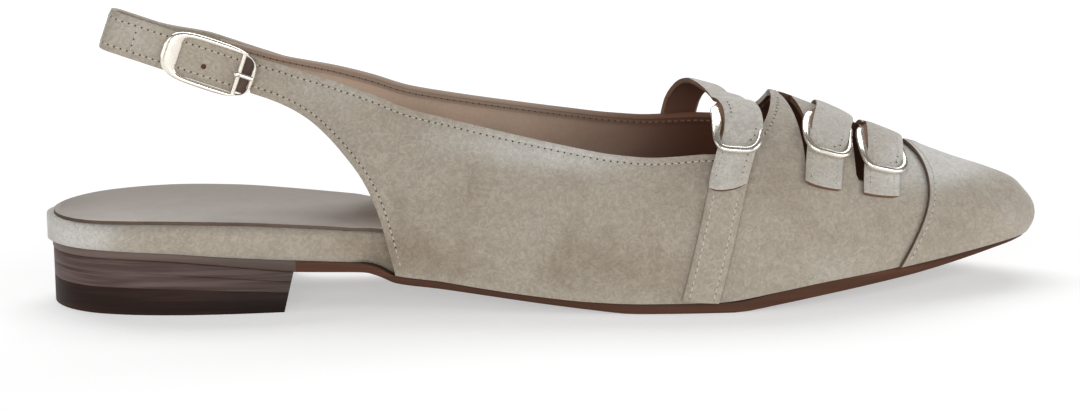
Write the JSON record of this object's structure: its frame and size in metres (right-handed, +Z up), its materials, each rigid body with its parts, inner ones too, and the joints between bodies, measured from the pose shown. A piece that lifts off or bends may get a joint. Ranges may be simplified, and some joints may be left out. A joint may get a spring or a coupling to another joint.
{
  "type": "slingback shoe",
  "caption": "Flat pointed-toe slingback shoe in suede with a low stacked heel, toe cap, buckled instep straps and a buckled sling strap; worn on the right foot.",
  "frame": {"origin": "on the floor, under the middle of the shoe's box", "axes": "+X towards the toe, +Y towards the medial (inner) side, +Z up"},
  "size_m": [0.2603, 0.0839, 0.0777],
  "materials": {
    "suede": "beige suede, soft nap",
    "sock_leather": "taupe smooth leather",
    "sole_leather": "brown sole leather, waxed edge",
    "heel_stack": "dark stacked heel, satin",
    "heel_rubber": "dark brown rubber, matte",
    "buckle_metal": "pale gold plate, polished"
  },
  "bodies": {
    "root": {"outsole": "sole_leather", "heel_top_piece": "heel_rubber", "heel_lift_lower": "heel_stack", "heel_lift_upper": "heel_stack", "footbed": "suede", "insole_sock": "sock_leather", "upper": "suede", "toe_cap": "suede", "side_strap": "suede", "instep_strap_1": "suede", "instep_strap_2": "suede", "instep_strap_3": "suede", "instep_buckle_1": "buckle_metal", "instep_buckle_2": "buckle_metal", "instep_buckle_3": "buckle_metal", "sling_strap": "suede", "sling_buckle": "buckle_metal"}
  },
  "joints": []
}
